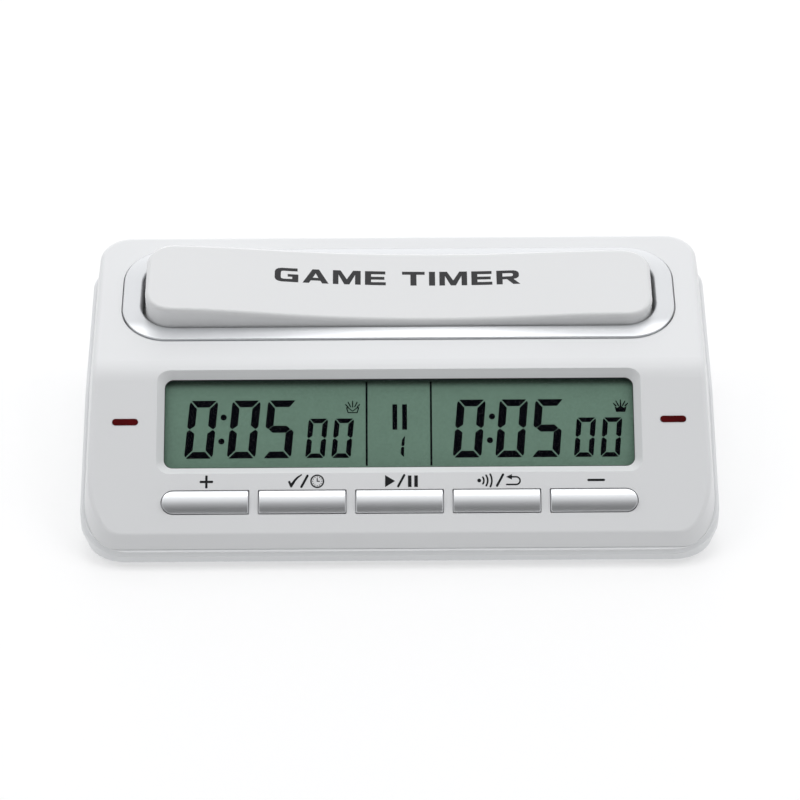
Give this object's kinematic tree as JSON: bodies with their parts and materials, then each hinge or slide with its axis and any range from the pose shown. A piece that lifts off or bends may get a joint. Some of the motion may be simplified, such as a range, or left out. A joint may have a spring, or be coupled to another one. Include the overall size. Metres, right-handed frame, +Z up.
{
  "type": "chess clock",
  "caption": "Digital two-player chess clock: wedge case, see-saw rocker in a satin ring, wide two-sided LCD, five keys in a row, two turn lamps, AA cells in the base.",
  "frame": {"origin": "centre of the bounding box on the plane the feet rest on", "axes": "+X to the right as a player in front of the display sees it, +Y to the rear, +Z up"},
  "size_m": [0.156, 0.0863, 0.0439],
  "materials": {
    "case_upper": "fine satin silver-white moulded plastic",
    "case_lower": "fine satin silver-white moulded plastic",
    "battery_door": "fine satin silver-white moulded plastic",
    "satin_trim": "satin silver plated plastic",
    "rocker": "polished white plastic",
    "key_caps": "satin silver plated plastic",
    "steel_pin": "plain steel",
    "spring_steel": "nickel plated spring steel",
    "screw_steel": "zinc plated steel",
    "white_plastic": "natural white plastic",
    "black_plastic": "black plastic",
    "key_rubber": "grey silicone",
    "contact_rubber": "striped conductive silicone",
    "foot_rubber": "matt black rubber",
    "clear_lens": "clear acrylic",
    "lcd_glass": "grey-green reflective LCD with dark segments",
    "lamp_lens": "dark red translucent acrylic",
    "circuit_board": "green solder mask",
    "battery_jacket": "printed sleeve, plain",
    "wire_jacket": "soft PVC",
    "ribbon_jacket": "flat flexible cable"
  },
  "bodies": {
    "case": {"upper_case": "case_upper", "lower_case": "case_lower", "rocker_bezel_ring": "satin_trim", "rocker_axle": "steel_pin", "friction_washers": "white_plastic", "left_plunger_spring": "spring_steel", "right_plunger_spring": "spring_steel", "tact_switches": "black_plastic", "switch_board": "circuit_board", "keypad_sheet": "key_rubber", "display_lens": "clear_lens", "lcd_glass": "lcd_glass", "lcd_frame": "white_plastic", "contact_strips": "contact_rubber", "main_board": "circuit_board", "board_components": "black_plastic", "lamp_lens_left": "lamp_lens", "lamp_lens_right": "lamp_lens", "lamp_leds": "white_plastic", "battery_cells": "battery_jacket", "battery_contact_plates": "spring_steel", "battery_contact_springs": "spring_steel", "buzzer": "black_plastic", "power_switch_body": "steel_pin", "rubber_feet": "foot_rubber", "case_screws": "screw_steel", "board_screws": "screw_steel", "lead_wires": "wire_jacket", "ribbon_cable": "ribbon_jacket"},
    "rocker": {"rocker": "rocker"},
    "left_plunger": {"left_plunger": "black_plastic"},
    "right_plunger": {"right_plunger": "black_plastic"},
    "key_plus": {"key_plus": "key_caps", "key_plus_rubber": "key_rubber"},
    "key_time_mode": {"key_time_mode": "key_caps", "key_time_mode_rubber": "key_rubber"},
    "key_start_pause": {"key_start_pause": "key_caps", "key_start_pause_rubber": "key_rubber"},
    "key_sound": {"key_sound": "key_caps", "key_sound_rubber": "key_rubber"},
    "key_minus": {"key_minus": "key_caps", "key_minus_rubber": "key_rubber"},
    "battery_door": {"battery_door": "battery_door"},
    "power_switch_knob": {"power_switch_knob": "black_plastic"}
  },
  "joints": [
    {"name": "rocker_tilt", "type": "hinge", "parent": "case", "child": "rocker", "pos_m": [0, 0.0209, 0.03284], "axis": [0, 0.9903, 0.1392], "range_deg": [-2.6, 0]},
    {"name": "left_plunger_slide", "type": "slide", "parent": "case", "child": "left_plunger", "axis": [0, -0.1392, 0.9903], "range_m": [-0.00182, 0], "deforming": ["left_plunger_spring"]},
    {"name": "right_plunger_slide", "type": "slide", "parent": "case", "child": "right_plunger", "axis": [0, -0.1392, 0.9903], "range_m": [0, 0.00182], "deforming": ["right_plunger_spring"]},
    {"name": "key_plus_press", "type": "slide", "parent": "case", "child": "key_plus", "axis": [0, 0.5835, -0.8121], "range_m": [0, 0.001]},
    {"name": "key_time_mode_press", "type": "slide", "parent": "case", "child": "key_time_mode", "axis": [0, 0.5835, -0.8121], "range_m": [0, 0.001]},
    {"name": "key_start_pause_press", "type": "slide", "parent": "case", "child": "key_start_pause", "axis": [0, 0.5835, -0.8121], "range_m": [0, 0.001]},
    {"name": "key_sound_press", "type": "slide", "parent": "case", "child": "key_sound", "axis": [0, 0.5835, -0.8121], "range_m": [0, 0.001]},
    {"name": "key_minus_press", "type": "slide", "parent": "case", "child": "key_minus", "axis": [0, 0.5835, -0.8121], "range_m": [0, 0.001]},
    {"name": "battery_door_slide", "type": "slide", "parent": "case", "child": "battery_door", "axis": [0, 1, 0], "range_m": [0, 0.036]},
    {"name": "power_switch_slide", "type": "slide", "parent": "case", "child": "power_switch_knob", "axis": [1, 0, 0], "range_m": [0, 0.0028]}
  ],
  "couplings": [
    {"joint": "left_plunger_slide", "follows": "rocker_tilt", "m_per_rad": 0.04},
    {"joint": "right_plunger_slide", "follows": "rocker_tilt", "m_per_rad": -0.04}
  ]
}
